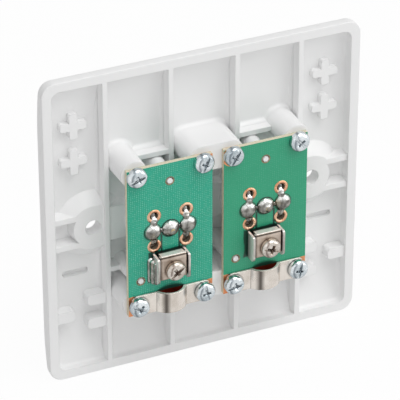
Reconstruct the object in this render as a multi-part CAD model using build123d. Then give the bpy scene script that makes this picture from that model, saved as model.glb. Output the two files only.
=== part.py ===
from build123d import *

import os
from math import atan2, degrees, sqrt

# Twin coaxial antenna wall socket, seen as fitted: the front face looks along -Y,
# the open back along +Y, and +Z is up. Y = 0 is the back of the rim, on the wall,
# and the origin is midway between the two fixing holes. Left is +X, as seen from
# behind. All sizes are millimetres.

# Moulded plate
plate_size = 86.0  # square single-gang plate
corner_r = 3.6  # outer corners, seen from the front
plate_depth = 6.0  # front face to the back of the rim, at mid height
front_drop = 2.0  # how far the front face curves back at top and bottom
front_flat = 56.0  # height of the flat middle of the front face
front_edge_r = 3.0  # round edge all round the front
rim_width = 2.6  # flat back of the rim
rim_edge_r = 0.25  # round outer edge of the rim
floor_depth = 3.6  # rim to the inside of the front wall, at mid height
floor_rise = 1.7  # how much shallower the floor is at top and bottom
pocket_corner_r = 2.0
pocket_fillet_r = 1.0  # round foot of the inside walls

# Fixing holes and their bosses
fixing_centres = 60.3
fixing_hole_d = 4.2
fixing_sink_d = 7.8  # countersink at the front face
fixing_sink_depth = 1.9
boss_r = 6.2
boss_face = 0.5  # how far the boss and the cross beam stop below the rim
boss_flare = 3.1  # how much wider the boss is at the floor
boss_core_r = 5.3  # boss between its two short ribs to the rim
boss_core_draft = 0.6
boss_tie_gap = 6.3  # between the two short ribs
boss_tie_shift = -0.45  # middle of that gap from the hole
boss_tie_width = 1.5
boss_tie_draft = 0.7
beam_height = 9.6  # flat cross beam from boss to boss

# Ribs of the back
rib_inner_x = 9.0
rib_outer_x = 26.5
rib_width = 1.35  # at its top
rib_draft = 0.45  # added to each side at the floor
bar_width = 1.35  # short cross bars, from the ribs to the posts
bar_draft = 0.25
foot_sink = 0.6  # how deep moulded features run into the front wall
foot_round = 1.2  # hollow round where ribs and posts meet the floor
foot_dip = 0.05  # the hollow round ends this far below the floor

# Raised crosses, shallow slots and pegs of the side bays
cross_x = 34.2
cross_z = (29.0, 19.0)
cross_span = 7.1
cross_arm = 2.2
cross_corner_r = 0.6
cross_height = 1.7
slot_x = 34.1
slot_z = -13.9
slot_length = 6.9
slot_height = 1.7
slot_depth = 1.1
peg_height = 3.2
peg_inner_reach = 5.0  # from the rib
peg_rim_reach = 4.9  # from the rim
peg_face = 0.5  # how far the pegs stop below the rim
peg_corner_r = 1.0
peg_rows = (-21.4, -28.4)  # on the rib
peg_rim_row = -24.9  # on the rim, between the other two

# Circuit boards
board_x = 13.05  # centre of each board from the middle of the plate
board_width = 23.0
board_top = 19.3
board_bottom = -22.9
board_thickness = 1.2
board_back = 8.3  # back face of the boards, behind the rim
locating_hole_d = 2.2
locating_pip_d = 1.45
locating_pip_up = 0.1  # how far a pip stands out of the board
locating_edge = 3.4  # lower locating hole, from the board's side
locating_upper = (0.0, board_top - 5.1)  # from the board's middle line
locating_lower = (board_width / 2 - locating_edge, board_bottom + 9.8)

# Board screws, into moulded posts
screw_edge = 2.5  # screw from the side of the board
screw_top_z = board_top - 1.9
screw_bottom_z = board_bottom + 2.95
post_top_d = 7.2
post_foot_d = 7.6
post_seat_gap = 0.02
support_top_d = 4.0
support_foot_d = 5.0
screw_shank_d = 2.9
screw_thread_play = 0.05  # radial play of a thread in its hole
screw_hole_play = 0.2  # radial play of a shank in a clearance hole
screw_head_d = 5.3
screw_head_height = 1.9
screw_head_wall = 0.75  # straight side of the head
screw_slot_width = 0.75
screw_slot_depth = 0.6
cross_recess_width = 0.75
cross_recess_depth = 1.3
cross_recess_span = 2.9
screw_length = 9.0  # under the head
screw_tip = 1.0  # length of the tapered tip
screw_bore_extra = 0.8  # the post's bore is this much deeper than the screw

# Cable saddle
saddle_end = 1.8  # strip past the middle of its screws
saddle_width = 5.8
saddle_thickness = 0.6
saddle_rise = 2.2  # inside of the arch above the board
saddle_arch_width = 8.2  # outside of the arch, across the strip's face
saddle_end_r = 1.6
saddle_gap = 0.02

# Inner conductor terminal: cage, clamp plate and screw
terminal_shift = 0.35  # from the board's middle line, towards +X
terminal_z = -9.5
cage_inner = 7.25
cage_wall = 0.55
cage_height = 3.9
cage_length = 7.6
cage_drop = -0.1  # how much further the cage runs down
cage_notch = 1.25  # cut-back of its base at the top, for the clamp's lip
cage_bend_r = 0.7
cage_bend_inner_r = 0.2
cage_top_corner_r = 0.6
cage_low_corner_r = 1.5
clamp_width = cage_inner - 0.25
clamp_height = 6.3
clamp_rise = 0.45  # middle of the clamp above its screw
clamp_thickness = 1.0
clamp_stand = 2.6  # front face of the clamp above the board
clamp_lip_thickness = 0.9
clamp_corner_r = 0.5
clamp_gap = 0.05
terminal_shank_d = 3.0
terminal_head_d = 5.2
terminal_head_height = 1.9
terminal_length = 6.2

# Coaxial outlets, 9.5 mm, with a contact for a 2.4 mm pin
outlet_z = 0.6
recess_d = 14.6  # hole in the front wall round each outlet
collar_d = 17.2  # moulded collar behind it
collar_back = 1.2  # how far the collar stands behind the rim
shell_d = 9.5
shell_wall = 0.6
shell_recess = 0.3  # below the front face
flange_size = 12.4
flange_thickness = 3.0
flange_corner_r = 1.2
tag_spread = 4.8
tag_width = 1.4
tag_thickness = 0.7
insulator_length = 6.0
insulator_recess = 2.2  # from the front of the shell
contact_d = 3.8
contact_bore_d = 2.4
contact_bore_depth = 9.0
contact_recess = 1.6
contact_slit = 0.35
pin_d = 1.2
outlet_fit = 0.02  # play between the parts of an outlet
lead_play = 0.15  # round a tag or pin in the board

# Solder joints on the boards
solder_d = 4.3
solder_height = 1.55
solder_squash = 0.1
pad_hole_x = 4.35
pad_hole_z = (5.0, -3.6)
pad_hole_d = 2.2
neck_width = 1.1
pin_proud = 1.8  # centre pin past the board

board_front = board_back - board_thickness
centre_height = (board_top + board_bottom) / 2
half = plate_size / 2
pocket_half = half - rim_width
screw_x = board_width / 2 - screw_edge
sides = {"left": board_x, "right": -board_x}


def to_wall(shape):
    """Turn a shape drawn flat, with its height along +Z, so that the height runs along +Y.

    The drawing's X is the plate's X, and the drawing's Y is the plate's Z, upside down, so
    drawings pass a negative height.
    """
    return Rot(-90, 0, 0) * shape


def prism(face, start, end):
    """Extrude a flat drawing between two places along Y."""
    return to_wall(Pos(0, 0, start) * extrude(face, end - start))


def at(x, z):
    """Place of a drawing's middle: X, and height on the plate."""
    return Pos(x, -z, 0)


def round_post(x, z, top_d, foot_d, start, end):
    """A post along Y, wider at its foot."""
    taper = Cone(foot_d / 2, top_d / 2, end - start, align=(Align.CENTER, Align.CENTER, Align.MIN))
    return to_wall(Pos(x, -z, start) * taper)


def hollow_side(inner):
    """Outline of a footing's hollow side, from the floor up, at a distance from the middle."""
    level = -floor_depth - foot_dip
    outer = inner + foot_round
    sag = foot_round * (1 - sqrt(0.5))
    wall = Line((outer, level - foot_sink), (outer, level))
    hollow = ThreePointArc((outer, level), (inner + sag, level + sag), (inner, level + foot_round))
    return [wall, hollow]


def round_footing(x, z, foot_d):
    """Hollow round at the foot of a post."""
    level = -floor_depth - foot_dip
    radius = foot_d / 2
    outline = [Line((0, level - foot_sink), (radius + foot_round, level - foot_sink))]
    outline += hollow_side(radius)
    outline.append(Line((radius, level + foot_round), (0, level + foot_round)))
    outline.append(Line((0, level + foot_round), (0, level - foot_sink)))
    ring = revolve(make_face(Curve() + outline), Axis.Y)
    return Pos(x, 0, z) * ring


def long_footing(width, length):
    """Hollow round at both sides of a bar that runs along Z."""
    level = -floor_depth - foot_dip
    half_width = width / 2
    right = hollow_side(half_width)
    outline = [Line((0, level - foot_sink), (half_width + foot_round, level - foot_sink))]
    outline += right
    outline.append(Line((half_width, level + foot_round), (0, level + foot_round)))
    outline.append(Line((0, level + foot_round), (0, level - foot_sink)))
    side = extrude(make_face(Curve() + outline), length / 2, both=True)
    return side + mirror(side, Plane.YZ)


def bore(x, z, diameter, start, end):
    """A round hole along Y."""
    drill = Cylinder(diameter / 2, end - start, align=(Align.CENTER, Align.CENTER, Align.MIN))
    return to_wall(Pos(x, -z, start) * drill)


def drafted_bar(x0, x1, z0, z1, top, foot, draft_x, draft_z):
    """A moulded bar that is widest at the floor: two flat outlines, joined by plane sides."""
    middle = at((x0 + x1) / 2, (z0 + z1) / 2)
    low = Rectangle(x1 - x0 + 2 * draft_x, z1 - z0 + 2 * draft_z)
    high = Rectangle(x1 - x0, z1 - z0)
    body = loft([Pos(0, 0, foot) * middle * low, Pos(0, 0, top) * middle * high])
    return to_wall(body)


def floor_at(z):
    """Place of the tray's floor along Y at a height on the plate."""
    return -floor_depth + arc_drop(z, floor_rise, pocket_half)


def arc_drop(z, drop, reach):
    """Fall of a surface that is flat in the middle and curves away at top and bottom."""
    run = abs(z) - front_flat / 2
    if run <= 0:
        return 0.0
    full = reach - front_flat / 2
    radius = (full * full + drop * drop) / (2 * drop)
    return radius - sqrt(radius * radius - run * run)


def curved_slab(back, face, drop, reach, width):
    """A slab across the plate whose front face is flat in the middle and arcs back at the ends."""
    flat = front_flat / 2
    end = face + drop
    mid_z = (reach + flat) / 2
    mid_y = face + arc_drop(mid_z, drop, reach)
    outline = [
        Line((back, reach), (end, reach)),
        ThreePointArc((end, reach), (mid_y, mid_z), (face, flat)),
        Line((face, flat), (face, -flat)),
        ThreePointArc((face, -flat), (mid_y, -mid_z), (end, -reach)),
        Line((end, -reach), (back, -reach)),
        Line((back, -reach), (back, reach)),
    ]
    section = Plane.YZ * make_face(Curve() + outline)
    return Pos(-width / 2, 0, 0) * extrude(section, width, dir=(1, 0, 0))


def plate_blank():
    """Outside of the plate: rounded square, curved front and a round front edge."""
    slab = curved_slab(0, -plate_depth, front_drop, half, plate_size)
    outline = prism(RectangleRounded(plate_size, plate_size, corner_r), -plate_depth, 0)
    blank = outline & slab
    corners = blank.edges().filter_by(lambda e: e.center().Y < -plate_depth / 2 and on_front(e))
    blank = fillet(corners, front_edge_r)
    back = blank.faces().sort_by(Axis.Y)[-1]
    return fillet(back.edges(), rim_edge_r)


def on_front(edge):
    """True for the edges that run round the front face."""
    low = edge.bounding_box().min.Y
    high = edge.bounding_box().max.Y
    flat_enough = high - low <= front_drop + 0.01
    outer = max(abs(edge.center().X), abs(edge.center().Z)) > half - corner_r
    return flat_enough and outer and low < -plate_depth + front_drop + 0.01


def pocket():
    """The hollow behind the front wall."""
    reach = 2 * pocket_half
    slab = curved_slab(1, -floor_depth, floor_rise, pocket_half, reach)
    outline = prism(RectangleRounded(reach, reach, pocket_corner_r), -floor_depth, 1)
    hollow = outline & slab
    foot = hollow.edges().filter_by(lambda e: e.center().Y < 0 and round_foot(e))
    return fillet(foot, pocket_fillet_r)


def round_foot(edge):
    """True for the edges between the floor and the inside walls."""
    box = edge.bounding_box()
    outer = max(abs(edge.center().X), abs(edge.center().Z)) > pocket_half - pocket_corner_r
    return outer and box.max.Y - box.min.Y <= floor_rise + 0.01


def tall_ribs():
    """Four upright ribs, flush with the rim."""
    ribs = []
    for x in (-rib_outer_x, -rib_inner_x, rib_inner_x, rib_outer_x):
        left = x - rib_width / 2
        ends = pocket_half + foot_sink
        foot = -floor_depth - foot_sink
        draft = rib_draft * (1 + foot_sink / floor_depth)
        ribs.append(drafted_bar(left, left + rib_width, -ends, ends, 0, foot, draft, 0))
        ribs.append(Pos(x, 0, 0) * long_footing(rib_width + 2 * rib_draft, 2 * ends))
    return ribs


def boss(side):
    """Flared boss of a fixing hole, with two short ribs to the rim and a hollow between them."""
    x = side * fixing_centres / 2
    foot = -floor_depth - foot_sink
    spread = boss_flare * (-foot - boss_face) / (floor_depth - boss_face)
    flare = round_post(x, 0, 2 * boss_r, 2 * (boss_r + spread), foot, -boss_face)
    inner, outer = sorted((x, side * (pocket_half + foot_sink)))
    hollow = Rectangle(outer - inner, boss_tie_gap + boss_tie_width)
    flare -= prism(at((inner + outer) / 2, boss_tie_shift) * hollow, foot - 1, 0)
    parts = [flare, round_post(x, 0, 2 * boss_core_r, 2 * (boss_core_r + boss_core_draft), foot, -boss_face)]
    for row in (-1, 1):
        z = boss_tie_shift + row * (boss_tie_gap + boss_tie_width) / 2
        low = z - boss_tie_width / 2
        tie = drafted_bar(inner, outer, low, low + boss_tie_width, -boss_face, foot, 0, boss_tie_draft)
        parts.append(tie)
    return parts


def cross_beam():
    """Flat beam from boss to boss, behind the outlets."""
    reach = fixing_centres / 2
    foot = -floor_depth - foot_sink
    low = -beam_height / 2
    return drafted_bar(-reach, reach, low, low + beam_height, -boss_face, foot, 0, bar_draft)


def raised_cross(x, z):
    """Low cross with round ends, on the floor of a side bay."""
    level = floor_at(z) + cross_height
    arms = RectangleRounded(cross_span, cross_arm, cross_corner_r)
    arms += RectangleRounded(cross_arm, cross_span, cross_corner_r)
    return prism(at(x, z) * arms, -floor_depth - foot_sink, level)


def floor_slot(x):
    """Shallow round-ended slot in the floor."""
    outline = at(x, slot_z) * SlotOverall(slot_length, slot_height)
    return prism(outline, -floor_depth - slot_depth, 0)


def peg(x_root, x_end, z):
    """Short block with a round outer end, standing out from a rib or the rim."""
    width = abs(x_end - x_root)
    block = prism(at((x_root + x_end) / 2, z) * Rectangle(width, peg_height),
                  -floor_depth - foot_sink, -peg_face)
    outer = block.edges().filter_by(Axis.Y).sort_by(lambda e: abs(e.center().X - x_end))[:2]
    return fillet(outer, peg_corner_r)


def pegs(side):
    """Three pegs of a side bay: two on the rib, one between them on the rim."""
    blocks = []
    rib_face = side * (rib_outer_x + rib_width / 2)
    for z in peg_rows:
        blocks.append(peg(side * rib_outer_x, rib_face + side * peg_inner_reach, z))
    rim_face = side * pocket_half
    blocks.append(peg(side * (pocket_half + foot_sink), rim_face - side * peg_rim_reach, peg_rim_row))
    return blocks


def board_posts(x):
    """Posts under one board: four for its screws and two that locate it."""
    foot = -floor_depth - foot_sink
    top = board_front - post_seat_gap
    parts = []
    for dx in (-screw_x, screw_x):
        for z in (screw_top_z, screw_bottom_z):
            parts.append(round_post(x + dx, z, post_top_d, post_foot_d, foot, top))
            parts.append(round_footing(x + dx, z, post_foot_d))
    for dx, z in (locating_upper, locating_lower):
        parts.append(round_post(x + dx, z, support_top_d, support_foot_d, foot, top))
        parts.append(bore(x + dx, z, locating_pip_d, top - 1, board_back + locating_pip_up))
    return parts


def twin_web(z):
    """Web that joins the two neighbouring posts between the boards."""
    inner = board_x - screw_x
    foot = -floor_depth - foot_sink
    top = board_front - post_seat_gap
    low = z - post_top_d / 2
    draft = (post_foot_d - post_top_d) / 2
    web = drafted_bar(-inner, inner, low, low + post_top_d, top, foot, 0, draft)
    return web + Pos(0, 0, z) * Rot(0, 90, 0) * long_footing(post_foot_d, 2 * inner)


def post_bars(side):
    """Short bars that tie the outer posts to the tall ribs."""
    foot = -floor_depth - foot_sink
    bars = []
    post_x = side * (board_x + screw_x)
    inner, outer = sorted((side * rib_inner_x, post_x))
    low = screw_top_z - bar_width / 2
    bars.append(drafted_bar(inner, outer, low, low + bar_width, 0, foot, 0, bar_draft))
    footing = Rot(0, 90, 0) * long_footing(bar_width + 2 * bar_draft, outer - inner)
    bars.append(Pos((inner + outer) / 2, 0, screw_top_z) * footing)
    return bars


def locating_bars():
    """Bars from the neighbouring tall ribs to the lower locating posts."""
    foot = -floor_depth - foot_sink
    bars = []
    for x, rib_x in ((board_x + locating_lower[0], rib_outer_x),
                     (-board_x + locating_lower[0], -rib_inner_x)):
        inner, outer = sorted((x, rib_x))
        low = locating_lower[1] - bar_width / 2
        bars.append(drafted_bar(inner, outer, low, low + bar_width, 0, foot, 0, bar_draft))
    return bars


def front_plate():
    """The moulded plate with everything that is moulded on its back."""
    body = plate_blank() - pocket()
    features = tall_ribs() + boss(1) + boss(-1) + [cross_beam()]
    for side in (1, -1):
        features += [raised_cross(side * cross_x, z) for z in cross_z]
        features += pegs(side)
        features += post_bars(side)
    for x in sides.values():
        features += board_posts(x)
        features.append(round_post(x, outlet_z, collar_d, collar_d + 0.6,
                                   -floor_depth - foot_sink, collar_back))
    features += [twin_web(screw_top_z), twin_web(screw_bottom_z)] + locating_bars()
    body = body.fuse(*features)
    cuts = []
    for side in (1, -1):
        cuts.append(floor_slot(side * slot_x))
        x = side * fixing_centres / 2
        cuts.append(bore(x, 0, fixing_hole_d, -plate_depth - 1, 1))
        sink = Cone(fixing_sink_d / 2, fixing_hole_d / 2, fixing_sink_depth,
                    align=(Align.CENTER, Align.CENTER, Align.MIN))
        cuts.append(to_wall(Pos(x, 0, -plate_depth) * sink))
    for x in sides.values():
        cuts.append(bore(x, outlet_z, recess_d, -plate_depth - 1, collar_back + 1))
        for dx in (-screw_x, screw_x):
            for z, seat in ((screw_top_z, board_back), (screw_bottom_z, board_back + saddle_thickness)):
                depth = seat - screw_length - screw_bore_extra
                hole = screw_shank_d + 2 * screw_thread_play
                cuts.append(bore(x + dx, z, hole, depth, board_front + 1))
    return body.cut(*cuts)


def circuit_board(x):
    """Flat board with its screw, locating, terminal, lead and pad holes."""
    blank = at(x, centre_height) * Rectangle(board_width, board_top - board_bottom)
    board = prism(blank, board_front, board_back)
    through = (board_front - 1, board_back + 1)
    cuts = []
    for dx in (-screw_x, screw_x):
        for z in (screw_top_z, screw_bottom_z):
            cuts.append(bore(x + dx, z, screw_shank_d + 2 * screw_hole_play, *through))
    for dx, z in (locating_upper, locating_lower):
        cuts.append(bore(x + dx, z, locating_hole_d, *through))
    for dx in (-pad_hole_x, pad_hole_x):
        for z in pad_hole_z:
            cuts.append(bore(x + dx, z, pad_hole_d, *through))
    cuts.append(bore(x, outlet_z, pin_d + 2 * lead_play, *through))
    for dx in (-tag_spread, tag_spread):
        slot = at(x + dx, outlet_z) * Rectangle(tag_thickness + 2 * lead_play, tag_width + 2 * lead_play)
        cuts.append(prism(slot, *through))
    cuts.append(bore(x + terminal_shift, terminal_z, terminal_shank_d + 2 * screw_hole_play, *through))
    return board.cut(*cuts)


def pan_head(diameter, height):
    """Domed screw head on its seat, with a slot and a cross recess, pointing along +Z."""
    radius = diameter / 2
    flat_r = radius * 0.42
    shoulder = radius * 0.9
    outline = [
        Line((0, 0), (radius, 0)),
        Line((radius, 0), (radius, screw_head_wall)),
        ThreePointArc((radius, screw_head_wall),
                      (shoulder, screw_head_wall + 0.62 * (height - screw_head_wall)),
                      (flat_r, height)),
        Line((flat_r, height), (0, height)),
        Line((0, height), (0, 0)),
    ]
    head = revolve(Plane.XZ * make_face(Curve() + outline), Axis.Z)
    slot = Pos(0, 0, height - screw_slot_depth) * Box(
        diameter + 1, screw_slot_width, height, align=(Align.CENTER, Align.CENTER, Align.MIN))
    wings = Box(cross_recess_span, cross_recess_width, height)
    wings += Box(cross_recess_width, cross_recess_span, height)
    taper = Cone(0.2, cross_recess_span / 2, cross_recess_depth,
                 align=(Align.CENTER, Align.CENTER, Align.MAX))
    recess = (Pos(0, 0, height) * taper) & (Pos(0, 0, height) * wings)
    return head - slot - recess


def screw(x, z, seat, shank_d, length, head_d, head_height, turn):
    """Screw with its head on a seat and its shank towards the front of the plate."""
    shank = Cylinder(shank_d / 2, length - screw_tip, align=(Align.CENTER, Align.CENTER, Align.MAX))
    tip = Pos(0, 0, screw_tip - length) * Cone(
        shank_d * 0.25, shank_d / 2, screw_tip, align=(Align.CENTER, Align.CENTER, Align.MAX))
    whole = pan_head(head_d, head_height) + shank + tip
    return to_wall(Pos(x, -z, seat) * Rot(0, 0, turn) * whole)


def cable_saddle(x):
    """Strip with a half-round arch that holds the cable on the bare end of the board."""
    arch_half = saddle_arch_width / 2
    low = board_back + saddle_gap
    high = low + saddle_thickness
    crest = low + saddle_rise
    radius = (arch_half**2 + saddle_rise**2) / (2 * saddle_rise)
    inner_half = sqrt((radius - saddle_thickness)**2 - (radius - saddle_rise)**2)
    end = screw_x + saddle_end
    outline = [
        Line((-end, low), (-inner_half, low)),
        ThreePointArc((-inner_half, low), (0, crest), (inner_half, low)),
        Line((inner_half, low), (end, low)),
        Line((end, low), (end, high)),
        Line((end, high), (arch_half, high)),
        ThreePointArc((arch_half, high), (0, crest + saddle_thickness), (-arch_half, high)),
        Line((-arch_half, high), (-end, high)),
        Line((-end, high), (-end, low)),
    ]
    face = make_face(Curve() + outline)
    strip = extrude(Plane.XY.offset(-saddle_width / 2) * face, saddle_width)
    strip = fillet(strip.edges().filter_by(Axis.Y).group_by(Axis.X)[0], saddle_end_r)
    strip = fillet(strip.edges().filter_by(Axis.Y).group_by(Axis.X)[-1], saddle_end_r)
    strip = Pos(x, 0, screw_bottom_z) * strip
    holes = [bore(x + dx, screw_bottom_z, screw_shank_d + 2 * screw_hole_play, low - 1, high + 1)
             for dx in (-screw_x, screw_x)]
    return strip.cut(*holes)


def terminal_cage(x):
    """U-shaped cage of strip, standing on the board with its two walls to the back."""
    wall = cage_inner / 2 + cage_wall
    base = board_back
    outer = make_face(Polyline((-wall, base), (wall, base), (wall, base + cage_height),
                               (-wall, base + cage_height), close=True))
    hollow = Pos(0, base + cage_wall) * Rectangle(cage_inner, cage_height + 1, align=(Align.CENTER, Align.MIN))
    low = -cage_length / 2 - cage_drop
    cage = extrude(Plane.XY.offset(low) * outer, cage_length + cage_drop)
    space = extrude(Plane.XY.offset(2 * low) * hollow, 4 * cage_length)
    bends = cage.edges().filter_by(Axis.Z).group_by(Axis.Y)[0]
    cage = fillet(bends, cage_bend_r)
    space = fillet(space.edges().filter_by(Axis.Z).group_by(Axis.Y)[0], cage_bend_inner_r)
    ends = cage.edges().filter_by(Axis.X).group_by(Axis.Y)[-1]
    cage = fillet(ends.sort_by(Axis.Z)[0], cage_low_corner_r)
    ends = cage.edges().filter_by(Axis.X).group_by(Axis.Y)[-1]
    cage = fillet(ends.sort_by(Axis.Z)[-1], cage_top_corner_r)
    notch = Pos(0, base + cage_wall / 2, cage_length / 2) * Box(cage_inner, 2 * cage_wall, 2 * cage_notch)
    cage = Pos(x + terminal_shift, 0, terminal_z) * (cage - space - notch)
    tapped = terminal_shank_d + 2 * screw_thread_play
    return cage - bore(x + terminal_shift, terminal_z, tapped, base - 1, base + cage_wall + 1)


def clamp_plate(x):
    """Square clamp plate with a lip at its top that reaches down to the board."""
    front = board_back + clamp_stand
    back = front + clamp_thickness
    outline = at(0, 0) * RectangleRounded(clamp_width, clamp_height, clamp_corner_r)
    plate = prism(outline, front, back)
    lip_low = board_back + clamp_gap
    lip_z = clamp_height / 2 - clamp_lip_thickness / 2
    lip = prism(at(0, lip_z) * Rectangle(clamp_width - 2 * clamp_corner_r, clamp_lip_thickness),
                lip_low, back)
    whole = plate + lip
    bend = whole.edges().filter_by(Axis.X).sort_by(lambda e: -e.center().Z - e.center().Y)[0]
    whole = fillet(bend, clamp_lip_thickness * 0.7)
    whole = Pos(x + terminal_shift, 0, terminal_z + clamp_rise) * whole
    clearance = terminal_shank_d + 2 * screw_hole_play
    return whole - bore(x + terminal_shift, terminal_z, clearance, front - 1, back + 1)


def outlet_shell(x):
    """Outer contact: a tube on a square foot against the board, with two solder tags."""
    front = -plate_depth + shell_recess
    foot_front = board_front - flange_thickness
    foot = prism(RectangleRounded(flange_size, flange_size, flange_corner_r), foot_front, board_front)
    tube = bore(0, 0, shell_d, front, foot_front + 0.5)
    tube = fillet(tube.edges().group_by(Axis.Y)[0], shell_wall * 0.4)
    shell = foot + tube - bore(0, 0, shell_d - 2 * shell_wall, front - 1, board_front + 1)
    for dx in (-tag_spread, tag_spread):
        shell += prism(Pos(dx, 0) * Rectangle(tag_thickness, tag_width), foot_front + 0.5, board_back + 0.6)
    return Pos(x, 0, outlet_z) * shell


def outlet_insulator(x):
    """Insulating bush that carries the centre contact in the shell."""
    outer = shell_d - 2 * shell_wall - 2 * outlet_fit
    front = -plate_depth + shell_recess + insulator_recess
    ring = bore(0, 0, outer, front, board_front)
    ring -= bore(0, 0, contact_d + 2 * outlet_fit, front - 1, board_front + 1)
    ring = chamfer(ring.edges().group_by(Axis.Y)[0], 0.25)
    return Pos(x, 0, outlet_z) * ring


def centre_contact(x):
    """Split sleeve for the plug's pin, with its tail through the board."""
    front = -plate_depth + shell_recess + contact_recess
    sleeve = bore(0, 0, contact_d, front, board_front)
    sleeve = chamfer(sleeve.edges().group_by(Axis.Y)[0], 0.3)
    tail = bore(0, 0, pin_d, board_front - 0.5, board_back + pin_proud)
    tail = fillet(tail.edges().group_by(Axis.Y)[-1], pin_d * 0.2)
    sleeve = sleeve + tail - bore(0, 0, contact_bore_d, front - 1, front + contact_bore_depth)
    slit = prism(Rectangle(contact_d + 1, contact_slit), front - 1, front + contact_bore_depth * 0.6)
    return Pos(x, 0, outlet_z) * (sleeve - slit)


def solder_dome(x, z, diameter, height):
    """Rounded heap of solder on the board."""
    radius = ((diameter / 2)**2 + height**2) / (2 * height)
    ball = Pos(0, board_back + height - radius, 0) * Sphere(radius)
    keep = prism(Circle(diameter), board_back, board_back + 2 * height)
    return Pos(x, 0, z) * (ball & keep)


def solder_neck(x0, z0, x1, z1):
    """Low ridge of solder from a joint to the ring of a pad hole."""
    length = sqrt((x1 - x0)**2 + (z1 - z0)**2)
    ridge = Pos(0, board_back, 0) * Cylinder(neck_width / 2, length)
    keep = prism(Rectangle(2 * neck_width, 2 * length), board_back, board_back + neck_width)
    turn = degrees(atan2(x1 - x0, z1 - z0))
    return Pos((x0 + x1) / 2, 0, (z0 + z1) / 2) * Rot(0, turn, 0) * (ridge & keep)


def solder_joints(x):
    """Three joints of an outlet: its two tags and its centre pin."""
    ring_edge = pad_hole_d / 2 + 0.25
    joints = []
    for side in (-1, 1):
        tag_x = x + side * tag_spread
        joint = solder_dome(tag_x, outlet_z, solder_d, solder_height)
        for z in pad_hole_z:
            toward = 1 if z > outlet_z else -1
            joint += solder_neck(tag_x, outlet_z, x + side * pad_hole_x, z - toward * ring_edge)
        joint -= prism(at(tag_x, outlet_z) * Rectangle(tag_thickness, tag_width),
                       board_back - 1, board_back + 0.6)
        joints.append(joint)
    centre = solder_dome(x, outlet_z, solder_d, solder_height)
    centre -= bore(x, outlet_z, pin_d, board_back - 1, board_back + pin_proud + 1)
    joints.append(centre)
    return Compound(children=joints)


def save(name, shape):
    """Write one node to its own file."""
    shape.label = name
    export_step(shape, f"parts/{name}.step")


def main():
    os.makedirs("parts", exist_ok=True)
    save("front_plate", front_plate())
    turns = {"left": (20, 65, 150, 100), "right": (55, 130, 10, 80)}
    terminal_turns = {"left": 35, "right": 160}
    for name, x in sides.items():
        save(f"circuit_board_{name}", circuit_board(x))
        save(f"cable_saddle_{name}", cable_saddle(x))
        save(f"terminal_cage_{name}", terminal_cage(x))
        save(f"clamp_plate_{name}", clamp_plate(x))
        seat = board_back + clamp_stand + clamp_thickness
        save(f"terminal_screw_{name}",
             screw(x + terminal_shift, terminal_z, seat, terminal_shank_d, terminal_length,
                   terminal_head_d, terminal_head_height, terminal_turns[name]))
        places = (("board_screw", "a", screw_x, screw_top_z, board_back),
                  ("board_screw", "b", -screw_x, screw_top_z, board_back),
                  ("saddle_screw", "a", screw_x, screw_bottom_z, board_back + saddle_gap + saddle_thickness),
                  ("saddle_screw", "b", -screw_x, screw_bottom_z, board_back + saddle_gap + saddle_thickness))
        for (kind, letter, dx, z, seat), turn in zip(places, turns[name]):
            save(f"{kind}_{name}_{letter}",
                 screw(x + dx, z, seat, screw_shank_d, screw_length, screw_head_d, screw_head_height, turn))
        save(f"outlet_shell_{name}", outlet_shell(x))
        save(f"outlet_insulator_{name}", outlet_insulator(x))
        save(f"centre_contact_{name}", centre_contact(x))
        save(f"solder_joints_{name}", solder_joints(x))


main()
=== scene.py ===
import math

import bmesh
import bpy
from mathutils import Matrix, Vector


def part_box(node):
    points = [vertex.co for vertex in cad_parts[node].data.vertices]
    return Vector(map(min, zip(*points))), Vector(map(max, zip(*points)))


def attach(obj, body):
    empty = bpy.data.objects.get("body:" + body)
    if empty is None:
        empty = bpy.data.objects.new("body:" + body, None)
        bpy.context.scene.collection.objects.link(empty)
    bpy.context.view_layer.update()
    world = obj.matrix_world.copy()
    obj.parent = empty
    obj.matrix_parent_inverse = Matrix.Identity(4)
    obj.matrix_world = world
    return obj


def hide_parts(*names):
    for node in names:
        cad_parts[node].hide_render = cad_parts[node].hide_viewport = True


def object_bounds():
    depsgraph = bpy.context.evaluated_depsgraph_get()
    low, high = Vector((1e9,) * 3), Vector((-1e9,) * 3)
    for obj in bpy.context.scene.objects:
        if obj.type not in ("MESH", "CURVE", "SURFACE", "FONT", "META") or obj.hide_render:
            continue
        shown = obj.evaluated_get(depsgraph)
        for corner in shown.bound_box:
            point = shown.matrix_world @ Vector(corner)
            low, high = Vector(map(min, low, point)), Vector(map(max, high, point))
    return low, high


bl_info = {
    "name": "Antenna wall socket",
    "version": (1, 0, 0),
    "blender": (4, 5, 0),
    "location": "View3D > Sidebar > Wall socket",
    "description": "Dresses the twin coaxial antenna socket, seen from its open back",
    "category": "Object",
}

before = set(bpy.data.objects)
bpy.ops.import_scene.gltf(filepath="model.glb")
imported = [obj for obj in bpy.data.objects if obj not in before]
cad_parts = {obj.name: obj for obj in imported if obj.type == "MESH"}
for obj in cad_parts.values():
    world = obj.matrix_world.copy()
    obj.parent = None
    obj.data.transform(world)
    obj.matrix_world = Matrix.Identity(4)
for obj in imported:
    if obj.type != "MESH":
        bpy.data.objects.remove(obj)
cad_box = [[float(n) for n in corner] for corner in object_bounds()]

MM = 0.001
# Kinds of node used most
MATH, VECTOR_MATH, COMBINE = "ShaderNodeMath", "ShaderNodeVectorMath", "ShaderNodeCombineXYZ"
NOISE, RANGE, TRANSFORM = "ShaderNodeTexNoise", "ShaderNodeMapRange", "GeometryNodeTransform"
SIDES = ("left", "right")
BOARD_LOW, BOARD_HIGH = {}, {}
for side in SIDES:
    BOARD_LOW[side], BOARD_HIGH[side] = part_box(f"circuit_board_{side}")
BOARD_BACK = BOARD_HIGH["left"][1]


def middle_x(side):
    """Middle line of one board, in metres."""
    return (BOARD_LOW[side][0] + BOARD_HIGH[side][0]) / 2


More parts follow.
